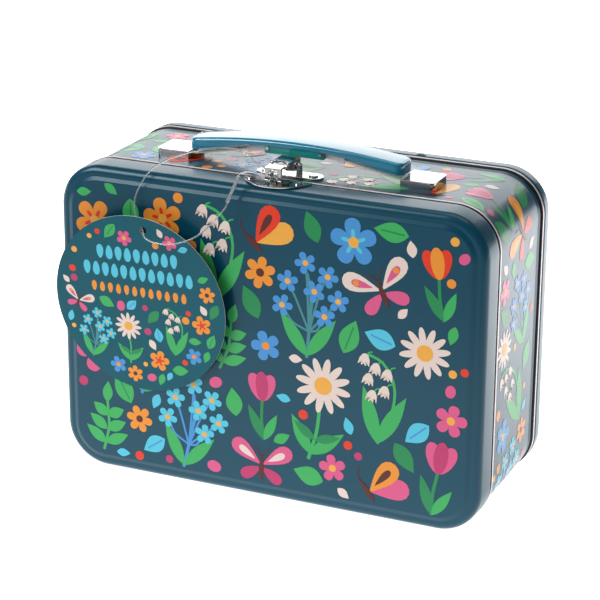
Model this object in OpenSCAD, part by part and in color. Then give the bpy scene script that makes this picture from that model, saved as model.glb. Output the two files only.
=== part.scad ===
// Metal lunch box: two-part tin case with a front lid, rising handle, lever latch and hang tag.
// Millimetres, +Z up. The origin is the middle of the resting face; the lid faces -Y.

/* [Case] */
// Width across the covers
case_w = 200; // [180:1:220]
// Height of the case without its handle
case_h = 143; // [130:1:160]
// Depth from the lid's face to the back face
case_d = 83; // [70:1:95]
// Outside corner radius of the covers
corner_r = 20; // [14:1:26]
// Sheet thickness of lid and band
sheet_t = 0.6; // [0.4:0.1:0.9]
// Depth of the front lid
lid_depth = 14.7; // [10:0.1:20]
// Depth of the back cover
back_depth = 8.9; // [7:0.1:14]
// How far the band sits inside the covers
band_inset = 0.9; // [0.7:0.1:1.2]
// Radius of the rounded edge round each cover's face
edge_r = 4; // [1.5:0.1:4.3]
// Height of the raised centre panel
panel_step = 0.9; // [0.5:0.1:1.5]
// Distance from the outline to the raised panel
panel_inset = 4.4; // [3.5:0.1:8]

/* [Rims and hinges] */
// Radius of the half-round rim beads
rim_r = 0.6; // [0.5:0.1:0.7]
// Depth position of the front rim bead
rim_front_y = -24.8; // [-25:0.1:-22]
// Depth position of the rear rim bead
rim_rear_y = 31.7; // [29:0.1:32]
// Sideways distance of each hinge from the middle
hinge_x = 55; // [40:1:65]
// Length of each hinge
hinge_len = 24; // [16:1:32]
// Depth position of the hinge axis
hinge_y = -26.5; // [-26.6:0.1:-26.4]
// Height of the hinge axis
hinge_z = 1; // [1:0.1:1.2]
// Radius of the hinge knuckles
knuckle_r = 1; // [0.9:0.1:1]
// Radius of the hinge pins
hinge_pin_r = 0.5; // [0.4:0.05:0.6]

/* [Handle] */
// Half length of the grip
grip_half = 50.3; // [44:0.1:50.5]
// Width of the grip, front to back
grip_w = 14; // [12:1:16]
// Depth position of the handle's middle
grip_y = -5.5; // [-7:0.5:-4]
// Height of the grip's top at the middle
grip_top = 156; // [154:0.5:158]
// Radius of the grip's arched top
arch_r = 335.3; // [300:1:400]
// Sideways position of the arm pivots
arm_x = 12.5; // [12:0.5:13]
// Height of the arm pivots
arm_z = 151.6; // [151:0.1:152]
// Sideways position of the arm's sliding end
foot_x = 55; // [54:0.5:56]
// Height of the arm's sliding end
foot_z = 143.4; // [143.2:0.1:143.6]
// Width of the arm straps
strap_w = 9; // [7:0.5:10]
// Thickness of the arm straps
strap_t = 0.8; // [0.6:0.1:1]
// Inner end of each bracket
bracket_x = 50; // [49.5:0.5:52]
// Length of each bracket
bracket_l = 15.5; // [12:0.5:18]
// Top of each bracket
bracket_z = 145.9; // [145.5:0.1:147]

/* [Latch] */
// Sideways position of the latch rivets
rivet_x = 11; // [9:0.5:13]
// Depth position of the keeper rivets
keeper_rivet_y = -31; // [-32:0.5:-30]
// Depth position of the base rivets
base_rivet_y = -15.5; // [-16:0.5:-15]
// Depth position of the lever pivot
lever_y = -16.5; // [-17:0.5:-16]
// Height of the lever pivot
lever_z = 146.5; // [146:0.5:147]
// Depth position of the link pin
link_y = -26.3; // [-27:0.1:-26]
// Height of the link pin
link_z = 148.9; // [148.5:0.1:149]
// Radius of the padlock hole
eye_r = 1.3; // [1.2:0.1:1.5]

/* [Hang tag] */
// Radius of the round card
tag_r = 41.5; // [38:0.5:45]
// Thickness of the card
tag_t = 0.5; // [0.3:0.1:1]
// Forward lean of the card in degrees
tag_lean = 5; // [0:1:10]
// Radius of the nylon string
string_r = 0.35; // [0.3:0.05:0.5]

/* [Hidden] */
$fn = 48;
eps = 0.01;

// Middle lines of the outline's corners
dx = case_w / 2 - corner_r;
dz = case_h / 2 - corner_r;
front_y = -case_d / 2;
back_y = case_d / 2;
lid_edge = front_y + lid_depth;
back_edge = back_y - back_depth;
// Band: outer and inner top, front end of the neck that enters the lid, rear end
band_r = corner_r - band_inset;
band_top = case_h - band_inset;
band_in_top = band_top - sheet_t;
neck_y = -32;
band_rear = 36.5;
notch_l = hinge_len + 1.2;
lid_leaf_y = -36.4;
dimple_y = 36;
dimple_r = 1.3;
// Rivets
rivet_r = 1;
rivet_gap = 0.05;
flange_r = 2.1;
flange_t = 0.6;
plate_t = 0.8;
base_top = band_top + plate_t;
keeper_top = case_h + plate_t;
// Arm geometry
arm_dx = foot_x - arm_x;
arm_dz = arm_z - foot_z;
arm_len = sqrt(arm_dx * arm_dx + arm_dz * arm_dz);
arm_tilt = atan2(arm_dz, arm_dx);
pin_r = 0.8;
run_gap = 0.05;
wall_gap = 2.3;
block_x = 14;
fold_l = 10.5;
fold_r = 1.3;
// Card and string
tag_c = [-58, -46, 84];
tag_hole = [4, 35.5];
tag_hole_r = 1.6;
lock_a = [-15.5, -46, 136];
lock_b = [-11, -44, 147.8];
lock_r = 0.85;
lock_gap = 0.2;
string_steps = 3;
string_sides = 8;
string_pts = [lock_a + 0.48 * (lock_b - lock_a), lock_a + 0.2 * (lock_b - lock_a),
    lock_a - 0.25 * (lock_b - lock_a), [-24, -50, 124], [-30, -52, 119.5], [-38.5, -53, 116.5],
    [-46.5, -53, 116], [-51.6, -52.3, 117.3], [-54, -49.7, 119.4], [-56.6, -47, 121],
    [-59.6, -45.4, 124], [-60.8, -44.4, 129], [-59.8, -43.6, 134], [-57.4, -43, 139],
    [-54.6, -41.6, 143.6], [-52.8, -38, 145.6], [-50.6, -32, 147], [-46.6, -26, 148.2],
    [-40.6, -20.6, 149.6], [-33, -16.6, 150.3], [-26, -14.4, 150.2], [-21, -15.2, 148.6],
    [-15, -18.6, 147], [-7, -24.6, 146], [-2.6, -28.4, 145.6], [0, -30.3, 145.6],
    [0.6, -33, 145.8], [0, -36.2, 146.8], [-3, -40, 148.6], [-7, -42.7, 149.9],
    lock_a + 1.08 * (lock_b - lock_a), lock_a + 0.8 * (lock_b - lock_a),
    lock_a + 0.56 * (lock_b - lock_a)];

// --- outline helpers -------------------------------------------------------
// A profile swept round the rounded rectangle: its x is the distance outward
// from the corner centre lines and its y is the distance towards the front.
module around() {
    translate([0, 0, case_h / 2]) rotate([90, 0, 0]) for (k = [0:3]) {
        side = k % 2 == 0 ? dx : dz;
        run = k % 2 == 0 ? dz : dx;
        rotate([0, 0, 90 * k]) {
            translate([side, 0, 0]) rotate([90, 0, 0]) linear_extrude(2 * run, center = true) children();
            translate([side, run, 0]) rotate_extrude(angle = 90) children();
        }
    }
}

// The middle plate between the four corner centre lines
module middle(y0, y1) {
    translate([-dx, y0, corner_r]) cube([2 * dx, y1 - y0, 2 * dz]);
}

// The area under a cover's skin, t inside its outer surface; face at y = face
module cover_area(face, open, t) {
    border = face - panel_step;
    lean = t * 0.4;
    translate([0, open]) square([corner_r - t, border - edge_r - open]);
    translate([0, open]) square([corner_r - edge_r, border - t - open]);
    translate([corner_r - edge_r, border - edge_r]) circle(edge_r - t);
    polygon([[0, open], [corner_r - panel_inset - lean + panel_step, open],
        [corner_r - panel_inset - lean, border - t], [corner_r - panel_inset - lean - panel_step, face - t],
        [0, face - t]]);
}

module cover(depth, t) {
    open = case_d / 2 - depth;
    around() difference() {
        cover_area(case_d / 2, open, 0);
        cover_area(case_d / 2, open, t);
        translate([-eps, open - 1]) square([corner_r - t + eps, 2]);
    }
    middle(front_y, front_y + t);
}

// A box given by its low and high corners
module block(a, b) {
    translate(a) cube(b - a);
}

// --- case ------------------------------------------------------------------
module body_band() color([0.16, 0.36, 0.43]) difference() {
    around() translate([band_r - sheet_t, -band_rear]) square([sheet_t, band_rear - neck_y]);
    for (s = [-1, 1]) {
        // clear the hinge knuckles and the lid leaf
        block([s * hinge_x - notch_l / 2, neck_y - 1, 0], [s * hinge_x + notch_l / 2, hinge_y + 1.15, 3]);
        // clear the keeper rivets' turned ends
        block([s * rivet_x - 2.6, neck_y - 1, band_top - 2], [s * rivet_x + 2.6, keeper_rivet_y + 2.7, case_h]);
        // holes for the latch base
        translate([s * rivet_x, base_rivet_y, band_top - 2]) cylinder(h = 4, r = rivet_r + rivet_gap);
        // slots for the bracket tabs
        for (t = [-1, 1]) bracket_tab(s, t, 0.1, band_top + 1);
    }
}

module back_cover() color([0.16, 0.36, 0.43]) difference() {
    union() {
        mirror([0, 1, 0]) cover(back_depth, band_inset);
        for (s = [-1, 1]) translate([s * 41, dimple_y, case_h - 0.4]) sphere(r = dimple_r);
    }
    block([-50, 30, case_h - 5], [50, dimple_y + 1, case_h - band_inset]);
}

module front_cover() color([0.16, 0.36, 0.43]) difference() {
    cover(lid_depth, sheet_t);
    for (s = [-1, 1]) {
        block([s * hinge_x - notch_l / 2, hinge_y - 1.2, -1], [s * hinge_x + notch_l / 2, lid_edge + 1, 3]);
        translate([s * rivet_x, keeper_rivet_y, case_h - 2]) cylinder(h = 4, r = rivet_r + rivet_gap);
    }
}

module rim(y) color([0.8, 0.74, 0.74]) around() intersection() {
    translate([band_r, -y]) circle(rim_r);
    translate([band_r, -y - rim_r]) square([rim_r, 2 * rim_r]);
}

module front_rim() rim(rim_front_y);
module rear_rim() rim(rim_rear_y);

// --- hinges ----------------------------------------------------------------
module knuckle(x0, x1, bore) {
    translate([x0, hinge_y, hinge_z]) rotate([0, 90, 0]) difference() {
        cylinder(h = x1 - x0, r = knuckle_r);
        translate([0, 0, -1]) cylinder(h = x1 - x0 + 2, r = bore);
    }
}

module hinge_body_leaf(s) color([0.7, 0.7, 0.72]) translate([s * hinge_x, 0, 0]) {
    half = hinge_len / 2;
    low = band_inset + sheet_t;
    for (k = [-1, 1]) knuckle(k < 0 ? -half : 4.3, k < 0 ? -4.3 : half, hinge_pin_r);
    difference() {
        block([-half, hinge_y, low + 0.1], [half, -13, low + 0.5]);
        block([-4.3, hinge_y - 2, 0], [4.3, hinge_y + 1.3, 4]);
        translate([-half - 1, hinge_y, hinge_z]) rotate([0, 90, 0]) cylinder(h = hinge_len + 2, r = 0.6);
    }
    block([-half, hinge_y + 1.5, low], [half, -13, low + 0.2]);
}

module hinge_lid_leaf(s) color([0.7, 0.7, 0.72]) translate([s * hinge_x, 0, 0]) {
    half = hinge_len / 2;
    knuckle(-4, 4, hinge_pin_r + run_gap);
    block([-4, hinge_y - 2, sheet_t], [4, hinge_y - 0.75, sheet_t + 0.5]);
    block([-half, lid_leaf_y, sheet_t], [half, hinge_y - 1.4, sheet_t + 0.5]);
}

module hinge_pin(s) color([0.6, 0.6, 0.62]) translate([s * hinge_x - hinge_len / 2, hinge_y, hinge_z])
    rotate([0, 90, 0]) cylinder(h = hinge_len, r = hinge_pin_r);

module hinge_body_leaf_left() hinge_body_leaf(-1);
module hinge_body_leaf_right() hinge_body_leaf(1);
module hinge_lid_leaf_left() hinge_lid_leaf(-1);
module hinge_lid_leaf_right() hinge_lid_leaf(1);
module hinge_pin_left() hinge_pin(-1);
module hinge_pin_right() hinge_pin(1);

// --- latch -----------------------------------------------------------------
// A side outline, x towards the back and y up, given thickness along X
module side(x0, x1) {
    translate([x0, 0, 0]) rotate([90, 0, 90]) linear_extrude(x1 - x0) children();
}

module rod(r, x0, x1, y, z) {
    translate([x0, y, z]) rotate([0, 90, 0]) cylinder(h = x1 - x0, r = r);
}

module rivet_hole(y, z) {
    for (s = [-1, 1]) translate([s * rivet_x, y, z - 3]) cylinder(h = 6, r = rivet_r + rivet_gap);
}

module latch_base() color([0.78, 0.78, 0.8]) difference() {
    union() {
        block([-rivet_x, -20, band_top], [rivet_x, -11, base_top]);
        for (s = [-1, 1]) {
            translate([s * rivet_x, base_rivet_y, band_top]) cylinder(h = plate_t, r = 4.5);
            side(s * 4.8 - 0.4, s * 4.8 + 0.4) {
                translate([lever_y, lever_z]) circle(2);
                polygon([[-19.5, band_top], [-13.5, band_top], [lever_y + 2, lever_z], [lever_y - 2, lever_z]]);
            }
        }
    }
    rivet_hole(base_rivet_y, base_top);
    rod(pin_r, -9, 9, lever_y, lever_z);
}

module latch_lever() color([0.8, 0.8, 0.82]) {
    for (s = [-1, 1]) side(s * 3.6 - 0.4, s * 3.6 + 0.4) difference() {
        union() {
            translate([link_y, link_z]) circle(1.6);
            translate([lever_y + 2, lever_z + 3]) circle(1);
            polygon([[link_y, link_z - 1.6], [-18.5, 145], [-14.5, 145], [-13.5, 146.5],
                [-13.5, 149.5], [-14.5, 150.5], [link_y, link_z + 1.6]]);
        }
        translate([lever_y, lever_z]) circle(pin_r + run_gap);
        translate([link_y, link_z]) circle(0.6);
    }
    block([-3.2, -24.2, 149.7], [3.2, -14.6, 150.5]);
    block([-3.2, -14.3, 146.6], [3.2, -13.5, 149.4]);
}

module latch_pivot_pin() color([0.7, 0.7, 0.72]) {
    rod(pin_r, -5.6, 5.6, lever_y, lever_z);
    for (s = [-1, 1]) rod(1.3, s * 5.4 - 0.2, s * 5.4 + 0.2, lever_y, lever_z);
}

module latch_link() color([0.8, 0.8, 0.82]) {
    difference() {
        union() {
            rod(1.2, -2.9, 2.9, link_y, link_z);
            block([-2.9, -29, link_z + 0.3], [2.9, link_y, link_z + 1.1]);
        }
        rod(0.65, -4, 4, link_y, link_z);
    }
    block([-3.75, -33.4, link_z + 0.3], [3.75, -28.6, link_z + 1.1]);
    translate([0, -32.6, 0]) rotate([90, 0, 0]) linear_extrude(0.8) difference() {
        translate([-3.75, 144.3]) square([7.5, link_z + 1.1 - 144.3]);
        translate([-2.2, 144]) square([4.4, 2.8]);
        translate([0, 146.8]) circle(2.2);
    }
}

module latch_link_pin() color([0.7, 0.7, 0.72]) {
    rod(0.6, -4, 4, link_y, link_z);
    for (s = [-1, 1]) rod(1, s * 4.15 - 0.15, s * 4.15 + 0.15, link_y, link_z);
}

module latch_keeper() color([0.78, 0.78, 0.8]) difference() {
    union() {
        translate([0, 0, case_h]) linear_extrude(plate_t) intersection() {
            translate([0, -23.6]) circle(16.4);
            translate([-20, -41]) square([40, 13.2]);
        }
        translate([0, -29.9, 0]) rotate([90, 0, 0]) linear_extrude(0.7) {
            translate([-2.6, case_h]) square([5.2, 2.6]);
            translate([0, case_h + 2.6]) circle(2.6);
        }
    }
    rivet_hole(keeper_rivet_y, keeper_top);
    translate([0, -29, case_h + 2.6]) rotate([90, 0, 0]) cylinder(h = 3, r = eye_r);
}

// Two hollow rivets clinched over the plate and under the tin
module rivets(y, top, under) {
    for (s = [-1, 1]) translate([s * rivet_x, y, 0]) difference() {
        union() {
            translate([0, 0, top]) cylinder(h = flange_t, r = flange_r);
            translate([0, 0, under - flange_t]) cylinder(h = top + flange_t - under, r = rivet_r);
            translate([0, 0, under - flange_t]) cylinder(h = flange_t, r = 1.7);
        }
        translate([0, 0, under - 2]) cylinder(h = 10, r = 0.5);
    }
}

module latch_base_rivets() color([0.85, 0.85, 0.86]) rivets(base_rivet_y, base_top, band_in_top);
module latch_keeper_rivets() color([0.85, 0.85, 0.86]) rivets(keeper_rivet_y, keeper_top, case_h - sheet_t);

// --- handle ----------------------------------------------------------------
// A ring about the arch's centre line, from radius r0 to r1 and half width w, its top edges rounded
module arch(r0, r1, w, round_r) {
    translate([0, grip_y, grip_top - arch_r]) rotate([90, 0, 0]) rotate([0, 0, 81])
        rotate_extrude(angle = 18) {
            translate([r0, -w]) square([r1 - r0 - round_r, 2 * w]);
            translate([r0, -w + round_r]) square([r1 - r0, 2 * (w - round_r)]);
            if (round_r > 0) for (s = [-1, 1])
                translate([r1 - round_r, s * (w - round_r)]) circle(round_r);
        }
}

// A rounded plan shape for the grip, standing tall
module grip_plan() {
    translate([0, grip_y, grip_top - 20]) linear_extrude(30) {
        square([2 * grip_half - 8, grip_w], center = true);
        square([2 * grip_half, grip_w - 8], center = true);
        for (s = [-1, 1], t = [-1, 1]) translate([s * (grip_half - 4), t * (grip_w / 2 - 4)]) circle(4);
    }
}

module handle_grip() color([0.1, 0.42, 0.58]) difference() {
    union() {
        intersection() {
            arch(arch_r - 6, arch_r, grip_w / 2, 1.6);
            grip_plan();
        }
        block([-block_x, grip_y - 6.2, 149.2], [block_x, grip_y + 6.2, 152]);
    }
    // the side walls' lower edge runs just above the straps
    for (s = [0, 1]) mirror([s, 0, 0]) translate([0, grip_y, 0]) rotate([90, 0, 0])
        linear_extrude(2 * grip_w, center = true) polygon([[block_x + 0.2, 140],
            [foot_x, 140], [foot_x, foot_z + wall_gap],
            [block_x + 0.2, foot_z + wall_gap + (foot_x - block_x - 0.2) * arm_dz / arm_dx]]);
    // channel for the straps, open below
    for (s = [-1, 1]) intersection() {
        arch(arch_r - 20, arch_r - 2.6, strap_w / 2 + 0.9, 0);
        block([s > 0 ? 10.6 : -38, grip_y - 8, 140], [s > 0 ? 38 : -10.6, grip_y + 8, 160]);
    }
    // windows in the side walls where the straps show
    for (s = [-1, 1]) intersection() {
        arch(arch_r - 20, arch_r - 2.6, grip_w, 0);
        block([s > 0 ? 14.5 : -23.5, grip_y - 9, 140], [s > 0 ? 23.5 : -14.5, grip_y + 9, 160]);
    }
    for (s = [-1, 1]) translate([s * arm_x, grip_y + 10, arm_z]) rotate([90, 0, 0]) cylinder(h = 20, r = pin_r);
}

module handle_pin(s) color([0.7, 0.7, 0.72])
    translate([s * arm_x, grip_y + grip_w / 2 - 0.2, arm_z]) rotate([90, 0, 0]) cylinder(h = grip_w - 0.4, r = pin_r);

module handle_arm(s) color([0.86, 0.86, 0.86]) translate([s * arm_x, grip_y, arm_z])
    rotate([0, s * arm_tilt, 0]) mirror([s < 0 ? 1 : 0, 0, 0]) difference() {
        union() {
            translate([0, -strap_w / 2, -strap_t / 2]) cube([arm_len, strap_w, strap_t]);
            // the strap's end is folded round the pin and back on itself
            translate([0, strap_w / 2, 0]) rotate([90, 0, 0]) cylinder(h = strap_w, r = fold_r);
            translate([0, -strap_w / 2, -fold_r]) cube([fold_l, strap_w, 2 * fold_r]);
            translate([arm_len, 6.2, 0]) rotate([90, 0, 0]) cylinder(h = 12.4, r = 1);
        }
        translate([0, 10, 0]) rotate([90, 0, 0]) cylinder(h = 20, r = pin_r + run_gap);
    }

module handle_pin_left() handle_pin(-1);
module handle_pin_right() handle_pin(1);
module handle_arm_left() handle_arm(-1);
module handle_arm_right() handle_arm(1);

// Plan of the bracket box, inset by t
module bracket_plan(t) {
    r = 2 - t;
    far = bracket_x + bracket_l - 2;
    translate([bracket_x - eps * t, grip_y]) {
        translate([0, -8 + t]) square([bracket_l - 2, 16 - 2 * t]);
        translate([0, -6]) square([bracket_l - t, 12]);
    }
    for (s = [-1, 1]) translate([far, grip_y + s * 6]) circle(r);
}

module bracket_tab(s, t, grow, top) {
    lo = s > 0 ? 54 : -60;
    wall = t > 0 ? grip_y + 7.4 : grip_y - 8;
    block([lo - grow, wall - grow, band_in_top - 0.6 - grow], [lo + 6 + grow, wall + 0.6 + grow, top]);
}

module bracket_solid() {
    difference() {
        translate([0, 0, band_top]) linear_extrude(bracket_z - band_top) bracket_plan(0);
        translate([0, 0, band_top - 1]) linear_extrude(bracket_z - band_top + 0.4) bracket_plan(0.6);
        // open mouth, leaving a lip on each side
        block([bracket_x - 1, grip_y - 5.1, band_top - 1], [bracket_x + 1, grip_y + 5.1, bracket_z - 0.6]);
    }
    for (t = [-1, 1]) {
        block([bracket_x, t < 0 ? grip_y - 8 : grip_y + 5.1, band_top],
            [bracket_x + 0.6, t < 0 ? grip_y - 5.1 : grip_y + 8, bracket_z]);
        bracket_tab(1, t, 0, band_top + 1);
        foot = t > 0 ? grip_y + 4.6 : grip_y - 8;
        block([54, foot, band_in_top - 0.6], [60, foot + 3.4, band_in_top]);
    }
}

module bracket_left() color([0.85, 0.85, 0.87]) mirror([1, 0, 0]) bracket_solid();
module bracket_right() color([0.85, 0.85, 0.87]) bracket_solid();

// --- hang tag --------------------------------------------------------------
module swing_tag() color([0.12, 0.35, 0.38]) translate(tag_c) rotate([90 + tag_lean, 0, 0])
    linear_extrude(tag_t, center = true) difference() {
        circle(tag_r);
        translate(tag_hole) circle(tag_hole_r);
    }

function unit(v) = v / norm(v);
// Catmull-Rom point on the span between b and c
function spline(a, b, c, d, t) = 0.5 * (2 * b + t * (c - a) + t * t * (2 * a - 5 * b + 4 * c - d)
    + t * t * t * (3 * b - a - 3 * c + d));
function smooth(p, n) = concat([for (i = [0:len(p) - 2], k = [0:n - 1])
    spline(p[max(i - 1, 0)], p[i], p[i + 1], p[min(i + 2, len(p) - 1)], k / n)], [p[len(p) - 1]]);
function tangents(p) = [for (i = [0:len(p) - 1]) unit(p[min(i + 1, len(p) - 1)] - p[max(i - 1, 0)])];
// Side vectors carried along the line without twisting
function carried(t, i, u) = i == len(t) ? [] : let (w = unit(u - (u * t[i]) * t[i]))
    concat([w], carried(t, i + 1, w));
function ring(c, t, u, r, n) = [for (k = [0:n - 1])
    c + r * cos(360 * k / n) * u + r * sin(360 * k / n) * cross(t, u)];

module tube(points, r, n) {
    t = tangents(points);
    u = carried(t, 0, [0.3, 0.9, -0.2]);
    m = len(points);
    verts = [for (i = [0:m - 1], q = ring(points[i], t[i], u[i], r, n)) q];
    walls = [for (i = [0:m - 2], k = [0:n - 1], h = [0, 1]) let (a = i * n + k, b = i * n + (k + 1) % n)
        h == 0 ? [a, b + n, b] : [a, a + n, b + n]];
    caps = [[for (k = [0:n - 1]) k], [for (k = [n - 1:-1:0]) (m - 1) * n + k]];
    polyhedron(points = verts, faces = concat(walls, caps));
}

module tag_string() color([0.9, 0.92, 0.93]) tube(smooth(string_pts, string_steps), string_r, string_sides);

module tag_lock() color([0.88, 0.91, 0.93]) {
    d = lock_b - lock_a;
    translate(lock_a) rotate([0, acos(d[2] / norm(d)), atan2(d[1], d[0])]) difference() {
        cylinder(h = norm(d), r = lock_r);
        translate([0, 0, -1]) cylinder(h = norm(d) + 2, r = string_r + lock_gap);
    }
}

body_band();
back_cover();
front_cover();
front_rim();
rear_rim();
hinge_body_leaf_left();
hinge_body_leaf_right();
hinge_lid_leaf_left();
hinge_lid_leaf_right();
hinge_pin_left();
hinge_pin_right();
latch_base();
latch_lever();
latch_pivot_pin();
latch_link();
latch_link_pin();
latch_keeper();
latch_base_rivets();
latch_keeper_rivets();
handle_grip();
handle_arm_left();
handle_arm_right();
handle_pin_left();
handle_pin_right();
bracket_left();
bracket_right();
swing_tag();
tag_string();
tag_lock();
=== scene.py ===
# %% [markdown]
# # A printed tin lunch box
# This lesson dresses a working model of a small tin carry case: a lid on the front, a lever latch, a
# handle that rises on steel arms, and a round card on a nylon string. The moving parts come from the
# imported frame. Here the sheet metal gets its rolled edges and its printed garden, and every part its finish.

import math

import bmesh
import bpy
import numpy as np
from mathutils import Matrix, Vector


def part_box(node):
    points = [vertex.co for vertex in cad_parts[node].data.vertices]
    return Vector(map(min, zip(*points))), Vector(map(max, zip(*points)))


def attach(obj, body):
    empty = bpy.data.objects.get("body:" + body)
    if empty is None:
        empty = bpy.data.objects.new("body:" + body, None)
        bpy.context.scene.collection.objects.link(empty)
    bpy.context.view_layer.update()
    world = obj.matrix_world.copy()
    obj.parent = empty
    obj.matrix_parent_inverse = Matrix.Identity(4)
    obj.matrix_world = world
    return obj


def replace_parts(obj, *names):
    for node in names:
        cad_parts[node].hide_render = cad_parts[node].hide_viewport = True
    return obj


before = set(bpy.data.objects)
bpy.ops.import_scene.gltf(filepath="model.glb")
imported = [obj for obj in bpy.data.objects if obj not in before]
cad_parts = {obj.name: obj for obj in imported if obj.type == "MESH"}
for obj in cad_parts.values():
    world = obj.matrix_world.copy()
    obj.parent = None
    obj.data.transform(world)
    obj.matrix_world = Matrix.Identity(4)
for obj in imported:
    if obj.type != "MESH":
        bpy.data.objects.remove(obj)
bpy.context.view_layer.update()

# %% [markdown]
# ## Camera
# The camera comes first, because every later choice is judged through it. It stands above and to the right
# of the case and looks down by about twenty degrees. A long lens keeps the sides nearly parallel, as in a
# catalogue picture. The view is built from three directions worked out from two angles, which is easier to
# reason about than a chain of rotations.

# %% Camera
scene = bpy.context.scene
YAW, PITCH, ROLL = -0.4157, 0.3456, 0.0072
ahead = Vector((math.sin(YAW) * math.cos(PITCH), math.cos(YAW) * math.cos(PITCH), -math.sin(PITCH)))
level = Vector((math.cos(YAW), -math.sin(YAW), 0.0))
over = level.cross(ahead)
right = math.cos(ROLL) * level + math.sin(ROLL) * over
above = math.cos(ROLL) * over - math.sin(ROLL) * level
lens = bpy.data.cameras.new("view")
lens.sensor_width = 36.0
lens.lens = 130.86
camera = bpy.data.objects.new("view", lens)
turn = Matrix((right, above, -ahead)).transposed().to_4x4()
camera.matrix_world = Matrix.Translation((0.3682, -0.8381, 0.4094)) @ turn
scene.collection.objects.link(camera)
scene.camera = camera
print("camera at", tuple(round(v, 3) for v in camera.location))

# %% [markdown]
# ## Shader arithmetic
# A finish is a small sum of noises and masks. Writing it as Python arithmetic keeps it readable, so one
# class wraps a socket and turns + - * and / into Math nodes, and another holds the material being made.

# %% Shader helpers
class Value:
    """One output socket that can be added, multiplied and so on."""

    def __init__(self, finish, socket):
        self.finish, self.socket = finish, socket

    def _math(self, operation, a, b):
        return self.finish.node("ShaderNodeMath", {"operation": operation}, {0: a, 1: b})

    def __add__(self, other):
        return self._math("ADD", self, other)

    def __radd__(self, other):
        return self._math("ADD", other, self)

    def __sub__(self, other):
        return self._math("SUBTRACT", self, other)

    def __rsub__(self, other):
        return self._math("SUBTRACT", other, self)

    def __mul__(self, other):
        return self._math("MULTIPLY", self, other)

    def __rmul__(self, other):
        return self._math("MULTIPLY", other, self)

    def size(self):
        return self._math("ABSOLUTE", self, 0.0)

    def clip(self, low, high):
        """0 below low, 1 above high, straight between."""
        settings = {"clamp": True}
        values = {"Value": self, "From Min": low, "From Max": high}
        return self.finish.node("ShaderNodeMapRange", settings, values)


class Finish:
    """A material in the making, with one Principled shader."""

    def __init__(self, name, **fixed):
        self.material = bpy.data.materials.new(name)
        self.material.use_nodes = True
        self.tree = self.material.node_tree
        self.shader = self.tree.nodes["Principled BSDF"]
        self.coords = None
        self.set(**fixed)

    def node(self, kind, settings=None, values=None, out=0):
        """Adds a node, gives its settings, then the values or links of its sockets."""
        made = self.tree.nodes.new(kind)
        for key, value in (settings or {}).items():
            setattr(made, key, value)
        for key, value in (values or {}).items():
            if isinstance(value, Value):
                self.tree.links.new(value.socket, made.inputs[key])
            else:
                made.inputs[key].default_value = value
        return Value(self, made.outputs[out])

    def set(self, **sockets):
        """Sets or links the shader's sockets; an underscore stands for a space."""
        for key, value in sockets.items():
            socket = self.shader.inputs[key.replace("_", " ")]
            if isinstance(value, Value):
                self.tree.links.new(value.socket, socket)
            else:
                socket.default_value = value
        return self

    def place(self):
        """The object's own coordinates."""
        if self.coords is None:
            self.coords = self.node("ShaderNodeTexCoord", out="Object")
        return self.coords

    def stretched(self, x, y, z):
        return self.node("ShaderNodeMapping", {}, {"Vector": self.place(), "Scale": (x, y, z)})

    def noise(self, scale, detail=2.0, where=None):
        values = {"Vector": where or self.place(), "Scale": scale, "Detail": detail}
        return self.node("ShaderNodeTexNoise", {}, values, out="Fac")

    def bump(self, height, depth, strength=1.0):
        values = {"Height": height, "Distance": depth, "Strength": strength}
        return self.node("ShaderNodeBump", {}, values, out="Normal")


# The Mix node keeps one socket of each name per data type, so the colour ones are found by number.
MIX_COLOUR = {"Factor": 0, "A": 6, "B": 7}
MIX_RESULT = 2


def colour_mix(finish, amount, first, second):
    """A blend of two colours by a value."""
    values = {MIX_COLOUR["Factor"]: amount, MIX_COLOUR["A"]: first, MIX_COLOUR["B"]: second}
    return finish.node("ShaderNodeMix", {"data_type": "RGBA"}, values, out=MIX_RESULT)


def ink_rgb(r, g, b):
    """Display colour 0 to 255 to the linear colour a shader wants."""
    linear = [(c / 255 / 12.92 if c <= 10 else ((c / 255 + 0.055) / 1.055) ** 2.4) for c in (r, g, b)]
    return (*linear, 1.0)


print("shader helpers ready")

# %% [markdown]
# ## Lacquered tin
# The case is tinplate, printed flat before it was pressed and then varnished. The ground colour is a deep
# teal. Under the varnish it is never quite even, so two close teals are mixed by a slow noise; the varnish
# itself has a faint orange-peel ripple, and its gloss varies a little where hands have touched it.

# %% Lacquered tin
def lacquer(name, first, second):
    finish = Finish(name, Coat_Weight=0.5, Coat_Roughness=0.2, Coat_IOR=1.5, Specular_IOR_Level=0.25,
                    Specular_Tint=(0.45, 0.85, 1.0, 1.0))
    slow = finish.noise(14.0, 3.0)
    fine = finish.noise(900.0, 2.0)
    touch = finish.noise(60.0, 4.0)
    finish.set(Base_Color=colour_mix(finish, slow, first, second))
    finish.set(Roughness=0.3 + 0.1 * touch)
    finish.set(Normal=finish.bump(fine, 0.000012, 0.5))
    return finish.material


TEAL = lacquer("teal_lacquer", ink_rgb(2, 64, 84), ink_rgb(6, 72, 94))
print("made", TEAL.name)

# %% [markdown]
# ## Bare tin, rims and plated steel
# Inside, the sheet is plain tinplate with streaks along its rolling direction. The rims are bright metal
# with a warm cast. The latch, rivets and brackets are nickel plated: nearly a mirror, with fine scratches
# that show only in the roughness. The rims and the strap arms are duller, so only half of each is metal.

# %% Bare and plated metals
def streaked(name, first, second, rough, stretch):
    finish = Finish(name, Metallic=1.0)
    streak = finish.noise(60.0, 4.0, finish.stretched(*stretch))
    finish.set(Base_Color=colour_mix(finish, streak, first, second))
    finish.set(Roughness=rough + 0.18 * streak)
    finish.set(Normal=finish.bump(streak, 0.00002, 0.25))
    return finish.material


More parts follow.
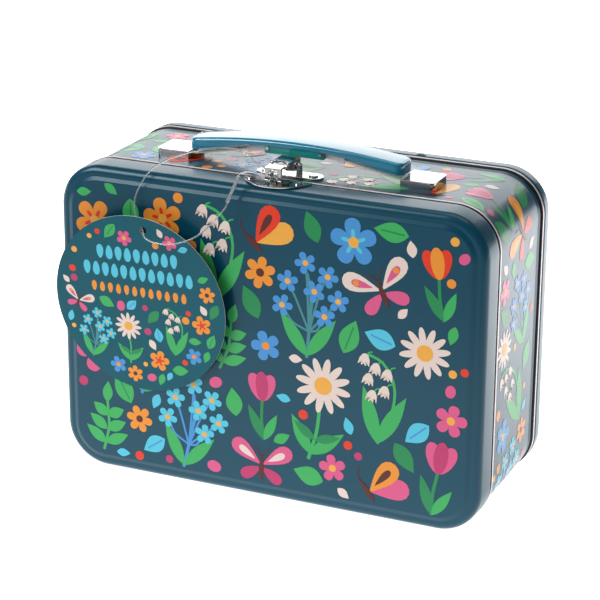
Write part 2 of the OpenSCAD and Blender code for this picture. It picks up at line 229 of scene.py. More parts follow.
def plated(name, first, second, rough, metal=1.0):
    finish = Finish(name, Metallic=metal)
    cloud = finish.noise(120.0, 3.0)
    scratch = finish.noise(500.0, 3.0, finish.stretched(1.0, 9.0, 4.0))
    finish.set(Base_Color=colour_mix(finish, cloud, first, second))
    finish.set(Roughness=rough + 0.14 * scratch.clip(0.5, 0.8) + 0.05 * cloud)
    finish.set(Normal=finish.bump(scratch, 0.00001, 0.3))
    return finish.material


BARE_TIN = streaked("bare_tin", (0.62, 0.60, 0.56, 1), (0.78, 0.77, 0.74, 1), 0.28, (0.5, 6, 6))
RIM_METAL = plated("rim_metal", ink_rgb(240, 222, 222), ink_rgb(250, 240, 238), 0.34, metal=0.5)
NICKEL = plated("bright_nickel", ink_rgb(205, 202, 200), ink_rgb(232, 229, 226), 0.05)
HINGE_STEEL = streaked("hinge_steel", (0.4, 0.4, 0.42, 1), (0.55, 0.55, 0.57, 1), 0.3, (1, 5, 5))
STRAP_STEEL = plated("strap_steel", ink_rgb(244, 242, 238), ink_rgb(252, 250, 248), 0.4, metal=0.5)
print("metals:", BARE_TIN.name, RIM_METAL.name, NICKEL.name)

# %% [markdown]
# ## Plastics, card and the painted shade of the seams
# The grip is moulded in a clear deep blue, so light gets a little way in before it is lost; a small
# subsurface share gives that glow. The string and its sleeve are clear nylon. The card is varnished. The
# bottom of each seam never sees light, so it is painted near black as painted shade.

# %% Plastics and card
def moulded(name, first, second, rough, **fixed):
    finish = Finish(name, **fixed)
    cloud = finish.noise(45.0, 3.0)
    grain = finish.noise(1200.0, 2.0)
    finish.set(Base_Color=colour_mix(finish, cloud, first, second), Roughness=rough + 0.08 * cloud)
    finish.set(Normal=finish.bump(grain, 0.000008, 0.4))
    return finish.material


def clear_blue(name):
    """Blue skin, and a greener cast in the thick block under the middle of the grip."""
    finish = Finish(name, Coat_Weight=0.9, Coat_Roughness=0.05, Subsurface_Weight=0.12,
                    Subsurface_Scale=0.003)
    cloud = finish.noise(45.0, 3.0)
    grain = finish.noise(1200.0, 2.0)
    across = finish.node("ShaderNodeSeparateXYZ", {}, {"Vector": finish.place()}, out="X")
    up = finish.node("ShaderNodeSeparateXYZ", {}, {"Vector": finish.place()}, out="Z")
    block = (0.0155 - across.size()).clip(0.0, 0.0015) * (0.1533 - up).clip(0.0, 0.0012)
    skin = colour_mix(finish, cloud, ink_rgb(10, 126, 158), ink_rgb(16, 142, 174))
    finish.set(Base_Color=colour_mix(finish, block, skin, ink_rgb(6, 150, 146)))
    finish.set(Roughness=0.12 + 0.08 * cloud, Normal=finish.bump(grain, 0.000008, 0.4))
    return finish.material


GRIP_BLUE = clear_blue("grip_blue")
NYLON = moulded("clear_nylon", (0.86, 0.89, 0.9, 1), (0.93, 0.95, 0.96, 1), 0.1,
                Transmission_Weight=0.8, IOR=1.45)
CARD_TEAL = moulded("card_teal", ink_rgb(4, 84, 98), ink_rgb(8, 92, 108), 0.36, Coat_Weight=0.2,
                    Coat_Roughness=0.12, Specular_IOR_Level=0.15)
CARD_EDGE = moulded("card_edge", (0.7, 0.7, 0.66, 1), (0.8, 0.79, 0.76, 1), 0.7)
# Painted shade: a near black for the deep gaps of the seams, which never see light.
SEAM_PAINTED_SHADE = moulded("seam_painted_shade", (0.006, 0.008, 0.01, 1), (0.012, 0.016, 0.02, 1), 0.5)
print("plastics:", GRIP_BLUE.name, NYLON.name, CARD_TEAL.name)

# %% [markdown]
# ## Printing inks
# The garden is printed in a dozen flat inks under the same varnish as the ground. Each is one material with
# a constant colour, so the export keeps its edges crisp instead of baking them into a texture.

# %% Inks
INK_COLOURS = {
    "leaf": (62, 178, 96), "moss": (38, 142, 84), "stem": (70, 140, 150), "blue": (74, 150, 216),
    "sky": (86, 200, 226), "pink": (226, 92, 142), "rose": (196, 60, 112), "orange": (242, 150, 52),
    "red": (232, 62, 36), "cream": (236, 216, 206), "gold": (246, 176, 72), "umber": (92, 44, 40),
}


def ink(name, rgb):
    finish = Finish("ink_" + name, Base_Color=ink_rgb(*rgb), Roughness=0.34, Specular_IOR_Level=0.1)
    finish.set(Coat_Weight=0.5, Coat_Roughness=0.2)
    return finish.material


INK_NAMES = list(INK_COLOURS)
INKS = [ink(name, INK_COLOURS[name]) for name in INK_NAMES]
print(len(INKS), "inks")

# %% [markdown]
# ## Putting arrays into a mesh
# Every new piece is worked out with numpy in millimetres. One function turns the arrays into an object in
# metres at the origin. Closed shells are asked to point their faces outwards.

# %% Mesh helper
MM = 0.001


def piece(name, verts, faces, materials, slots=None, smooth=True, closed=True):
    """Makes an object from an array of points in mm and a list of faces."""
    mesh = bpy.data.meshes.new(name)
    mesh.from_pydata((np.asarray(verts) * MM).tolist(), [], faces)
    for material in materials:
        mesh.materials.append(material)
    if slots is not None:
        mesh.polygons.foreach_set("material_index", np.asarray(slots, dtype=np.int32))
    mesh.polygons.foreach_set("use_smooth", np.full(len(mesh.polygons), smooth))
    if closed:
        shell = bmesh.new()
        shell.from_mesh(mesh)
        bmesh.ops.recalc_face_normals(shell, faces=shell.faces)
        shell.to_mesh(mesh)
        shell.free()
        mesh.set_sharp_from_angle(angle=math.radians(38))
    mesh.update()
    made = bpy.data.objects.new(name, mesh)
    scene.collection.objects.link(made)
    return made


def grid_faces(rows, columns, wrap_rows=False, wrap_columns=False):
    """Quads of a rows by columns grid of points, closed in either direction if asked."""
    i = np.arange(rows if wrap_rows else rows - 1)[:, None]
    j = np.arange(columns if wrap_columns else columns - 1)[None, :]
    i2, j2 = (i + 1) % rows, (j + 1) % columns
    quads = np.stack([i * columns + j, i2 * columns + j, i2 * columns + j2, i * columns + j2], axis=-1)
    return quads.reshape(-1, 4)


print("mesh helper ready")

# %% [markdown]
# ## The rounded outline
# Lid, band, rims and back all follow one rounded rectangle. It is walked as the line of corner centres and
# an outward direction: along a straight the centre moves and the direction stays, round a corner the centre
# stays and the direction turns. A profile carried along it needs only its distance from that line.

# %% Outline
low, high = (np.array(p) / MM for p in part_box("front_cover"))
CASE_W, CASE_H, CORNER = high[0] - low[0], high[2] - low[2], 20.0
FRONT_Y = low[1]
BACK_Y = (np.array(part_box("back_cover")[1]) / MM)[1]
HALF_W, HALF_H = CASE_W / 2 - CORNER, CASE_H / 2 - CORNER


def outline(straight=2.0, turn_steps=24):
    """Centre points and outward directions: four straights and four quarter turns."""
    centres, directions = [], []
    for quarter in range(4):
        side, run = (HALF_W, HALF_H) if quarter % 2 == 0 else (HALF_H, HALF_W)
        along = np.linspace(-run, run, int(2 * run / straight) + 1)[:-1]
        bend = np.linspace(0, np.pi / 2, turn_steps + 1)[:-1]
        centre = np.vstack([np.column_stack([np.full_like(along, side), along]),
                            np.tile([side, run], (turn_steps, 1))])
        direction = np.vstack([np.tile([1.0, 0.0], (len(along), 1)),
                               np.column_stack([np.cos(bend), np.sin(bend)])])
        c, s = round(math.cos(quarter * math.pi / 2)), round(math.sin(quarter * math.pi / 2))
        spin = np.array([[c, -s], [s, c]])
        centres.append(centre @ spin.T)
        directions.append(direction @ spin.T)
    return np.vstack(centres), np.vstack(directions)


CENTRES, DIRECTIONS = outline()


def eased(points, radii, steps=6):
    """A polyline with each inner corner replaced by a true arc of the given radius."""
    points = [np.array(p, float) for p in points]
    out = [points[0]]
    for before, corner, after, radius in zip(points[:-2], points[1:-1], points[2:], radii):
        a = (before - corner) / np.linalg.norm(before - corner)
        b = (after - corner) / np.linalg.norm(after - corner)
        half = 0.5 * math.acos(np.clip(a @ b, -1, 1))
        reach = radius / math.tan(half)
        t = np.linspace(0, 1, steps + 1)[:, None]
        weight = math.sin(half)
        blend = (1 - t) ** 2 + 2 * weight * t * (1 - t) + t ** 2
        curve = (1 - t) ** 2 * (corner + reach * a) + 2 * weight * t * (1 - t) * corner
        out.extend((curve + t ** 2 * (corner + reach * b)) / blend)
    return np.array(out + [points[-1]])


def carried(profile, limit=None, front=True):
    """Points of a profile (distance out, distance forward) carried round the outline."""
    out, forward = profile[:, 0], profile[:, 1]
    x = CENTRES[:, 0][:, None] + DIRECTIONS[:, 0][:, None] * out
    z = CENTRES[:, 1][:, None] + DIRECTIONS[:, 1][:, None] * out + CASE_H / 2
    y = np.broadcast_to(-forward if front else forward, x.shape).copy()
    if limit is not None:
        y = limit(x, y, z)
    return np.stack([x, y, z], axis=-1)


print("outline:", len(CENTRES), "stations")

# %% [markdown]
# ## Lid and back
# Each cover is one pressed sheet: a raised centre panel, a soft step down to a border, a round shoulder, a
# wall that flares by half a millimetre so the tool can draw it, and a hem curled in towards the band. Its
# section is drawn once, eased at each bend and carried round the outline; two flat faces close the panel.
# The lid's wall is cut back where the hinges pass, which moves only its last points.

# %% Covers
SHEET = 0.6
PANEL_Q = -FRONT_Y


def cover_section(edge, sheet, flare, shoulder):
    """Section of a cover from the outer panel round the hem to the inner panel."""
    border, wall = PANEL_Q - 0.9, CORNER - flare
    corners = [(8, PANEL_Q), (13.2, PANEL_Q), (15.2, border), (wall, border), (CORNER, edge + 2.2),
               (CORNER, edge + 1.1), (CORNER - 0.6, edge), (CORNER - sheet - 0.15, edge),
               (CORNER - sheet, edge + 1.5), (wall - sheet, border - sheet), (14.9, border - sheet),
               (12.9, PANEL_Q - sheet), (8, PANEL_Q - sheet)]
    radii = [1.4, 1.4, shoulder, 0.3, 0.6, 0.1, 0.1, 0.3, shoulder - sheet, 1.0, 1.0]
    return eased(corners, radii, 7)


def cover(name, edge, sheet, front, flare, shoulder, limit=None):
    section = cover_section(edge, sheet, flare, shoulder)
    points = carried(section, limit, front)
    rows, columns = points.shape[:2]
    quads = grid_faces(rows, columns, wrap_rows=True)
    outer = [i * columns for i in range(rows)][::-1]
    inner = [i * columns + columns - 1 for i in range(rows)]
    faces = quads.tolist() + [outer, inner]
    inside = (quads[:, 0] % columns) >= np.flatnonzero(np.isclose(section[:, 1], edge))[-1]
    slots = np.concatenate([inside.astype(int), [0, 1]])
    made = piece(name, points.reshape(-1, 3), faces, [TEAL, BARE_TIN], slots)
    for flat in made.data.polygons[-2:]:
        flat.use_smooth = False
    return made


LID_EDGE = -(np.array(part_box("front_cover")[1]) / MM)[1]
BACK_EDGE = (np.array(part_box("back_cover")[0]) / MM)[1]
HINGE_X, HINGE_HALF = 55.0, 13.9


def at_hinges(x, z):
    return (np.abs(np.abs(x) - HINGE_X) < HINGE_HALF) & (z < 5)


def lid_cut(x, y, z):
    """Where a hinge passes, the wall's hem stays in front of the knuckles."""
    return np.where(at_hinges(x, z) & (y > -27.7), -27.7, y)


lid_shell = cover("lid_shell", LID_EDGE, SHEET, True, 0.45, 3.4, lid_cut)
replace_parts(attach(lid_shell, "lid"), "front_cover")
back_shell = cover("back_shell", BACK_EDGE, 0.9, False, 0.05, 2.6)
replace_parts(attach(back_shell, "case"), "back_cover")
print("covers:", len(lid_shell.data.polygons), "faces each; lid edge at", LID_EDGE)

# %% [markdown]
# ## Stacking dimples
# Two low oval dimples are struck up from the back cover's top wall. Each is a dome of rings whose height
# falls from the middle as one minus the squared distance, closed by a flat face under the sheet.

# %% Dimples
TOP_OF_WALL = CASE_H - 0.45


def dimple(name, x, y, half_x, half_y, height):
    t = np.linspace(0, 2 * np.pi, 33)[:-1]
    ring = np.linspace(0.04, 1, 9)[:, None]
    lift = TOP_OF_WALL + height * (1 - ring ** 2) * np.ones_like(t)
    dome = np.stack([x + half_x * ring * np.cos(t), y + half_y * ring * np.sin(t), lift], axis=-1)
    faces = grid_faces(9, 32, wrap_columns=True).tolist() + [list(range(32)), list(range(8 * 32, 9 * 32))]
    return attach(piece(name, dome.reshape(-1, 3), faces, [TEAL]), "case")


for side, label in ((-1, "left"), (1, "right")):
    print("dimple:", dimple("dimple_" + label, side * 41.0, 34.9, 3.4, 1.9, 1.0).name)

# %% [markdown]
# ## Band
# The band is the tube between the covers. Its front end is a bare neck that slips inside the lid, and it is
# cut back for the hinges and the keeper's rivets. Near the rear seam a shallow cove is rolled in, and then
# a narrow groove, where the back cover is seamed on. The neck's outside and the floor of the groove are
# painted near black: painted shade for the deep gaps of the two seams.

# %% Band
BAND = CORNER - 0.9
rear = -(np.array(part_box("body_band")[1]) / MM)[1]
neck = -(np.array(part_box("body_band")[0]) / MM)[1]
section = eased([(BAND, 10), (BAND, neck), (BAND - SHEET, neck), (BAND - SHEET, 0), (BAND - SHEET, -25),
                 (BAND - SHEET - 0.7, -27.5), (BAND - SHEET - 0.7, -30.8), (BAND - SHEET, -31.4),
                 (BAND - SHEET, rear), (BAND, rear), (BAND, -31.0), (BAND - 0.9, -30.9), (BAND - 0.9, -29.7),
                 (BAND - 0.15, -29.5), (BAND - 0.6, -27.6), (BAND, -25.4), (BAND, -20), (BAND, 10)],
                [0.2, 0.2, 0.1, 0.3, 0.3, 0.2, 0.2, 0.2, 0.2, 0.03, 0.05, 0.05, 0.12, 1.2, 1.2, 0.1], 5)[:-1]


def band_cut(x, y, z):
    """The neck is cut back at the hinges and at the keeper's rivets."""
    y = np.where(at_hinges(x, z) & (y < -25.35), -25.35, y)
    rivets = (np.abs(np.abs(x) - 11) < 3.1) & (z > CASE_H - 5) & (y < -28.3)
    return np.where(rivets, -28.3, y)


points = carried(section, band_cut)
rows, columns = points.shape[:2]
quads = grid_faces(rows, columns, wrap_rows=True, wrap_columns=True)
centre = points.reshape(-1, 3)[quads].mean(axis=1)
middle_line = np.column_stack([np.clip(centre[:, 0], -HALF_W, HALF_W),
                               np.clip(centre[:, 2] - CASE_H / 2, -HALF_H, HALF_H) + CASE_H / 2])
reach = np.linalg.norm(centre[:, [0, 2]] - middle_line, axis=1)
slots = np.where(reach < BAND - 0.45, 1, 0)
# Painted shade: the outside of the neck, seen in the gap under the lid's hem, is painted near black.
slots = np.where((centre[:, 1] < -25.2) & (reach >= BAND - 0.45), 2, slots)
# Painted shade: the floor of the rear groove is painted near black too.
groove_shade = (centre[:, 1] > 29.45) & (centre[:, 1] < 31.1) & (reach > BAND - 1.0)
slots = np.where(groove_shade, 2, slots)
cove = (centre[:, 1] > 25) & (centre[:, 1] < 29.5) & (reach > BAND - 0.65)
slots = np.where(cove, 0, slots)
band_shell = piece("band_shell", points.reshape(-1, 3), quads.tolist(), [TEAL, BARE_TIN, SEAM_PAINTED_SHADE], slots)
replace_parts(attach(band_shell, "case"), "body_band")
print("band:", len(quads), "faces")

# %% [markdown]
# ## Rims
# A bright bead runs round each seam. It is a half round of metal with its flat side on the band. Its
# front flank is painted near black, painted shade for the gap in front of it, which is why each seam reads
# as a black line and a bright one. The bead is drawn wider than the working one and a little further back,
# so that it shows at a distance.

# %% Rims
BEAD_GROWTH, BEAD_BACK = 1.35, 0.1


def rim(name, node):
    near, far = (np.array(p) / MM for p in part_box(node))
    middle, radius = (near[1] + far[1]) / 2 + BEAD_BACK, BEAD_GROWTH * (far[1] - near[1]) / 2
    sweep = np.linspace(-np.pi / 2, np.pi / 2, 13)
    half_round = np.column_stack([BAND + radius * np.cos(sweep), -middle + radius * np.sin(sweep)])
    points = carried(half_round)
    faces = grid_faces(*points.shape[:2], wrap_rows=True, wrap_columns=True)
    # Painted shade: the front flank of the bead is painted near black for the gap in front of it.
    shaded_flank = (faces[:, 0] % 13 >= 9) & (faces[:, 0] % 13 < 12)
    made = piece(name, points.reshape(-1, 3), faces.tolist(), [RIM_METAL, SEAM_PAINTED_SHADE], shaded_flank.astype(int))
    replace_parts(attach(made, "case"), node)
    return made


for name, node in (("rim_front_bead", "front_rim"), ("rim_rear_bead", "rear_rim")):
    print("rim:", rim(name, node).name)

# %% [markdown]
# ## Shapes of the printed garden
# The print is cut-paper flat: petals, leaves, dots, stems and wings, each in one ink. A shape is a fan of
# rings shrunk towards its middle, so it can bend over the case's corners, or a strip along a stem. Layers
# lie a few hundredths of a millimetre apart, as thick ink does, only a little exaggerated.

# %% Flat shapes
RINGS = 3


def fan(edge, ink_name, layer=0):
    """An outline filled by rings shrunk to its middle: points, faces, ink and layer."""
    edge = np.asarray(edge, float)
    after = np.roll(edge, -1, axis=0)
    if (edge[:, 0] * after[:, 1] - after[:, 0] * edge[:, 1]).sum() < 0:
        edge = edge[::-1]
    n, middle = len(edge), edge.mean(axis=0)
    scales = np.arange(RINGS, 0, -1)[:, None, None] / RINGS
    verts = np.vstack([(middle + (edge - middle) * scales).reshape(-1, 2), middle])
    k = np.arange(n)
    k2 = (k + 1) % n
    faces = [[r * n + a, r * n + b, (r + 1) * n + b, (r + 1) * n + a]
             for r in range(RINGS - 1) for a, b in zip(k, k2)]
    tip = (RINGS - 1) * n
    faces += [[tip + a, tip + b, RINGS * n] for a, b in zip(k, k2)]
    return verts, faces, ink_name, layer


def turned(points, angle, offset=(0, 0), scale=1.0):
    """Points turned by an angle in degrees, then moved."""
    c, s = math.cos(math.radians(angle)), math.sin(math.radians(angle))
    return scale * np.asarray(points) @ np.array([[c, s], [-s, c]]) + np.asarray(offset)


def disc(radius, ink_name, at=(0, 0), layer=1, squash=1.0):
    t = np.linspace(0, 2 * np.pi, 17)[:-1]
    return fan(np.column_stack([radius * np.cos(t), squash * radius * np.sin(t)]) + at, ink_name, layer)


def lens(length, width):
    """A leaf outline: half a sine wave of the width on each side of its length."""
    t = np.linspace(0, 1, 11)
    side = 0.5 * width * np.sin(np.pi * t ** 0.85)
    return np.vstack([np.column_stack([side, length * t]), np.column_stack([-side, length * t])[::-1][1:-1]])


def petal(length, width, blunt=0.6):
    """A petal outline: narrow where it starts, widest beyond the middle, round at the tip."""
    t = np.linspace(0, 2 * np.pi, 19)[:-1]
    along = 0.5 * (1 - np.cos(t))
    return np.column_stack([0.5 * width * np.sin(t) * (1 - blunt + blunt * along), length * along])


def stem(points, width, ink_name, layer=0):
    """A strip of even width along a smooth curve through the points."""
    points = np.asarray(points, float)
    t = np.linspace(0, len(points) - 1, 14)
    line = np.column_stack([np.interp(t, range(len(points)), points[:, k]) for k in (0, 1)])
    for _ in range(2):
        line[1:-1] = (line[:-2] + 2 * line[1:-1] + line[2:]) / 4
    step = np.gradient(line, axis=0)
    side = np.column_stack([-step[:, 1], step[:, 0]]) / np.linalg.norm(step, axis=1)[:, None]
    verts = np.vstack([line - side * width / 2, line + side * width / 2])
    n = len(line)
    return verts, [[k, k + 1, n + k + 1, n + k] for k in range(n - 1)], ink_name, layer


print("flat shapes ready")

# %% [markdown]
# ## Plants and butterflies
# Each motif is a short recipe of those shapes: blossoms and daisies, a spray of small blue flowers, a stalk
# of hanging bells, tulips, leafy sprigs, and butterflies. They are plain garden shapes in an arrangement of
# this lesson's own.

# %% Motifs
def blossom(count=5, length=5.2, width=4.6, ink_name="sky", heart="orange", at=(0, 0), turn_by=0.0, layer=1):
    shapes = [fan(turned(petal(length, width), 360 * k / count + turn_by, at), ink_name, layer)
              for k in range(count)]
    return shapes + [disc(0.26 * length, heart, at, layer + 1)]


def layered_blossom(outer, inner, heart):
    shapes = blossom(5, 6.6, 6.0, outer, heart)[:-1]
    shapes += [fan(turned(petal(3.6, 1.5), 72 * k), inner, 2) for k in range(5)]
    return shapes + [disc(1.5, heart, layer=3)]


def daisy(length=7.2, petals=12, at=(0, 0)):
    shapes = [fan(turned(petal(length, 2.3, 0.35), 360 * k / petals, at), "cream", 1) for k in range(petals)]
    return shapes + [disc(2.3, "gold", at, 2)]


def tall_daisy():
    shapes = [stem([(0, 0), (0.8, 8), (0, 17)], 0.9, "leaf")]
    shapes += [fan(turned(lens(11, 3.4), angle, (0.3, 1.5)), "leaf") for angle in (38, -42)]
    shapes += [fan(turned(lens(7, 2.4), angle, (0.6, 5.5)), "moss") for angle in (62, -66)]
    return shapes + daisy(at=(0, 20))


def spray(ink_name="sky", stalk="blue"):
    spots = [(-6, 19), (-1.5, 24.5), (4.5, 22), (7.6, 16.2), (1.2, 17.6), (-7.2, 12.6), (4.2, 11.6)]
    shapes = [stem([(0, 0), (0.4, 9), (0.6, 17), (-1, 22)], 0.9, stalk)]
    shapes += [stem([(0.3, 7), (x * 0.6, y - 4), (x, y)], 0.6, stalk) for x, y in spots]
    shapes += [fan(turned(lens(13, 3.6), angle, (0, 0.5)), "leaf") for angle in (36, -34)]
    for k, spot in enumerate(spots):
        shapes += blossom(5, 2.9, 2.5, ink_name, "gold", spot, 25 * k)
    return shapes


def bells():
    line = [(0, 0), (2.4, 9), (2, 18), (-3, 24), (-8, 24.5)]
    shapes = [stem(line, 0.8, "leaf")]
    for x, y in ((-8.6, 22.6), (-5, 21), (-1.4, 20.4), (-6.4, 17.4), (-1.2, 15.4), (-4.4, 13)):
        cup = np.array([(-1.5, -1.4), (-0.9, -0.9), (-0.5, -1.5), (0, -0.9), (0.5, -1.5), (0.9, -0.9),
                        (1.5, -1.4), (1.3, 0.3), (0.7, 1.4), (0, 1.7), (-0.7, 1.4), (-1.3, 0.3)])
        shapes += [stem([(x, y + 1), (x + 0.9, y + 2.6), (x + 1.8, y + 3)], 0.4, "leaf"),
                   fan(cup * 1.15 + (x, y), "cream", 1)]
    return shapes + [fan(turned(lens(17, 4.4), angle), "leaf") for angle in (26, -18)]


def tulip(outer="red", inner="orange"):
    shapes = [stem([(0, 0), (-0.6, 6), (0, 13)], 0.9, "moss"), fan(turned(lens(11, 3), 24), "moss"),
              fan(turned(lens(9, 2.8), -28), "leaf")]
    shapes += [fan(turned(petal(8.4, 4.6, 0.2), angle, (0, 11.6)), outer, 1) for angle in (22, -22)]
    return shapes + [fan(turned(petal(8.8, 4.2, 0.2), 0, (0, 11.4)), inner, 2)]


def butterfly(upper="orange", lower="red", spot="gold"):
    shapes = []
    for side in (1, -1):
        shapes += [fan(turned(petal(11.5, 8.0, 0.85), -56 * side, (0.3 * side, 0.6)), upper, 1),
                   fan(turned(petal(7.6, 5.4, 0.7), -122 * side, (0.3 * side, -0.4)), lower, 1),
                   fan(turned(petal(6.4, 3.2, 0.8), -58 * side, (2.2 * side, 2.0)), spot, 2),
                   stem([(0.2 * side, 3), (1.2 * side, 5), (2.6 * side, 6.2)], 0.35, "umber", 2)]
    return shapes + [fan(turned(lens(9, 1.7), 0, (0, -5)), "umber", 3)]


def moth():
    shapes = butterfly("cream", "pink", "pink")
    return shapes + [disc(0.9, "orange", (side * 6.4, 4.6), 3) for side in (1, -1)]


def perched(upper="red", lower="gold"):
    """A butterfly seen from the side, with its wings together."""
    shapes = [fan(turned(petal(12, 9, 0.8), angle, (0, 0)), colour, k)
              for k, (angle, colour) in enumerate(((-52, lower), (-14, upper)))]
    shapes += [fan(turned(petal(7, 3, 0.8), -16, (0.4, 2.4)), "umber", 2)]
    return shapes + [fan(turned(lens(8, 1.8), 62, (2.6, -2.2)), "umber", 3),
                     stem([(-4, 1.2), (-5.6, 3), (-6, 5)], 0.35, "umber", 2)]


def sprig(ink_name="leaf"):
    shapes = [stem([(0, 0), (1.2, 7), (0, 15)], 0.8, ink_name), fan(turned(lens(6, 3), 0, (0, 14)), ink_name)]
    for k in range(3):
        for side in (1, -1):
            shapes.append(fan(turned(lens(7.4 - k, 3.2), 58 * side, (0.6, 2.2 + 4 * k)), ink_name, 1))
    return shapes


def leaf(length=9.0, width=5.4, ink_name="leaf", vein=None):
    shapes = [fan(lens(length, width), ink_name)]
    return shapes + ([stem([(0, 0.12 * length), (0, 0.8 * length)], 0.4, vein, 1)] if vein else [])


def dot(radius=1.7, ink_name="red", squash=1.0):
    return [disc(radius, ink_name, layer=0, squash=squash)]


TALL = [spray, bells, tall_daisy, lambda: spray("blue", "stem"), lambda: tulip("pink", "rose"), tulip, sprig]
WIDE = [butterfly, lambda: layered_blossom("blue", "sky", "gold"), moth, lambda: perched("orange", "pink"),
        daisy, lambda: layered_blossom("orange", "red", "gold"), lambda: butterfly("pink", "rose", "cream"),
        lambda: layered_blossom("pink", "cream", "orange"), perched]
SMALL = [leaf, lambda: blossom(5, 4.4, 4.0, "blue", "orange"), lambda: leaf(8, 5, "sky", "blue"),
         lambda: blossom(6, 4.2, 3.2, "orange", "umber"), lambda: leaf(10, 5.2, "moss"),
         lambda: blossom(5, 4.0, 3.6, "pink", "gold"), lambda: leaf(9, 5, "leaf", "moss")]
TINY = [lambda: dot(1.8, "pink", 1.25), lambda: leaf(5.4, 3.0, "sky"), lambda: dot(1.7, "orange"),
        lambda: leaf(6, 3.2, "leaf"), lambda: dot(1.5, "red"), lambda: leaf(5, 3, "cream"),
        lambda: dot(1.3, "gold"), lambda: dot(1.5, "rose")]
print("motifs:", len(TALL) + len(WIDE) + len(SMALL) + len(TINY))

# %% [markdown]
# ## Scattering the motifs
# A printed all-over pattern is packed: tall things first, then wide ones, then leaves and dots in the gaps.
# A coarse map of what is covered decides whether a motif fits; the places tried come from a seeded list of
# random numbers, so every run prints the same garden.

# %% Scatter
CELL = 0.5


def scatter(width, height, seed, recipe, blocked=None, gap=0.9):
    """Motifs placed on a width by height sheet, as shapes in sheet coordinates."""
    rng = np.random.default_rng(seed)
    nx, ny = int(width / CELL), int(height / CELL)
    full = np.zeros((nx, ny), bool)
    if blocked is not None:
        gx, gy = np.meshgrid((np.arange(nx) + 0.5) * CELL, (np.arange(ny) + 0.5) * CELL, indexing="ij")
        full |= blocked(gx, gy)
    spread = int(gap / CELL) + 1
    offsets = np.array([(a, b) for a in range(-spread, spread + 1) for b in range(-spread, spread + 1)
                        if a * a + b * b <= (gap / CELL + 0.5) ** 2])
    placed = []
    for motifs, count, tries, lean, sizes in recipe:
        for k in range(count):
            shapes = motifs[(k + seed) % len(motifs)]()
            size = rng.uniform(*sizes)
            for x, y, angle in zip(rng.uniform(0, width, tries), rng.uniform(0, height, tries),
                                   rng.uniform(-lean, lean, tries)):
                moved = [(turned(v * size, angle, (x, y)), f, c, layer) for v, f, c, layer in shapes]
                cells = np.floor(np.vstack([v for v, *_ in moved]) / CELL).astype(int)
                if cells.min() < 1 or cells[:, 0].max() >= nx - 1 or cells[:, 1].max() >= ny - 1:
                    continue
                if full[cells[:, 0], cells[:, 1]].any():
                    continue
                marks = (cells[:, None, :] + offsets[None]).reshape(-1, 2)
                marks = np.clip(marks, 0, (nx - 1, ny - 1))
                full[marks[:, 0], marks[:, 1]] = True
                placed += moved
                break
    return placed


def print_on(name, shapes, lay, body, base=0.05, step=0.035):
    """Lays the shapes on a surface. lay takes (across, up, height) to a place in mm."""
    verts, faces, slots, start = [], [], [], 0
    for order, (flat, shape_faces, ink_name, layer) in enumerate(shapes):
        height = base + step * layer + 0.0012 * (order % 24)
        verts.append(lay(flat[:, 0], flat[:, 1], np.full(len(flat), height)))
        faces += [[start + k for k in face] for face in shape_faces]
        slots += [INK_NAMES.index(ink_name)] * len(shape_faces)
        start += len(flat)
    made = piece(name, np.vstack(verts), faces, INKS, slots, closed=False)
    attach(made, body)
    print(name, len(shapes), "shapes", len(faces), "faces")
    return made


# %% [markdown]
# ## The printed panels
# Front and back carry the same sort of garden on the raised panel. The motifs stay inside its corners.

# %% Front and back prints
PANEL_W, PANEL_H = CASE_W - 12.0, CASE_H - 12.0
PANEL_CORNER = 13.0


def outside_panel(x, y):
    """True outside the rounded panel."""
    dx = np.abs(x - PANEL_W / 2) - (PANEL_W / 2 - PANEL_CORNER)
    dy = np.abs(y - PANEL_H / 2) - (PANEL_H / 2 - PANEL_CORNER)
    return np.hypot(np.maximum(dx, 0), np.maximum(dy, 0)) > PANEL_CORNER


PANEL_RECIPE = [(TALL, 12, 900, 16, (1.55, 1.85)), (WIDE, 14, 900, 35, (1.4, 1.7)),
                (SMALL, 24, 700, 180, (1.45, 1.85)), (TINY, 34, 500, 180, (1.2, 1.6))]


def on_front(x, y, height):
    return np.column_stack([x - PANEL_W / 2, FRONT_Y - height, y + (CASE_H - PANEL_H) / 2])


def on_back(x, y, height):
    return np.column_stack([PANEL_W / 2 - x, BACK_Y + height, y + (CASE_H - PANEL_H) / 2])


front_shapes = scatter(PANEL_W, PANEL_H, 11, PANEL_RECIPE, outside_panel)
print_on("front_print", front_shapes, on_front, "lid")
back_shapes = scatter(PANEL_W, PANEL_H, 23, PANEL_RECIPE, outside_panel)
print_on("back_print", back_shapes, on_back, "case")

# %% [markdown]
# ## The printed band
# The band is printed as one long strip and bent round the case. Sheet coordinates are the distance round
# the band and the depth; the strip starts under the case, where its two ends meet. The fans' inner rings
# let each motif follow the corners.

# %% Band print
TURN = BAND * math.pi / 2
SIDES = np.array([2 * HALF_H, TURN, 2 * HALF_W, TURN, 2 * HALF_H, TURN, 2 * HALF_W, TURN])
ENDS = np.concatenate([[0.0], np.cumsum(SIDES)])
ROUND = ENDS[-1]
STRIP_FRONT, STRIP_BACK = -23.2, 25.0


def on_band(depth, along, height):
    """Distance round the band, from the middle of its underside, to a place on it."""
    s = (np.asarray(along) - HALF_W - TURN) % ROUND
    part = np.clip(np.searchsorted(ENDS, s, side="right") - 1, 0, 7)
    local, quarter, turning = s - ENDS[part], part // 2, part % 2 == 1
    side = np.where(quarter % 2 == 0, HALF_W, HALF_H)
    run = np.where(quarter % 2 == 0, HALF_H, HALF_W)
    angle = np.where(turning, local / BAND, 0.0)
    cx, cz = side, np.where(turning, run, local - run)
    nx, nz = np.cos(angle), np.sin(angle)
    c, s2 = np.cos(quarter * np.pi / 2).round(), np.sin(quarter * np.pi / 2).round()
    out = BAND + height
    x, z = cx + nx * out, cz + nz * out
    return np.column_stack([c * x - s2 * z, STRIP_FRONT + depth, s2 * x + c * z + CASE_H / 2])


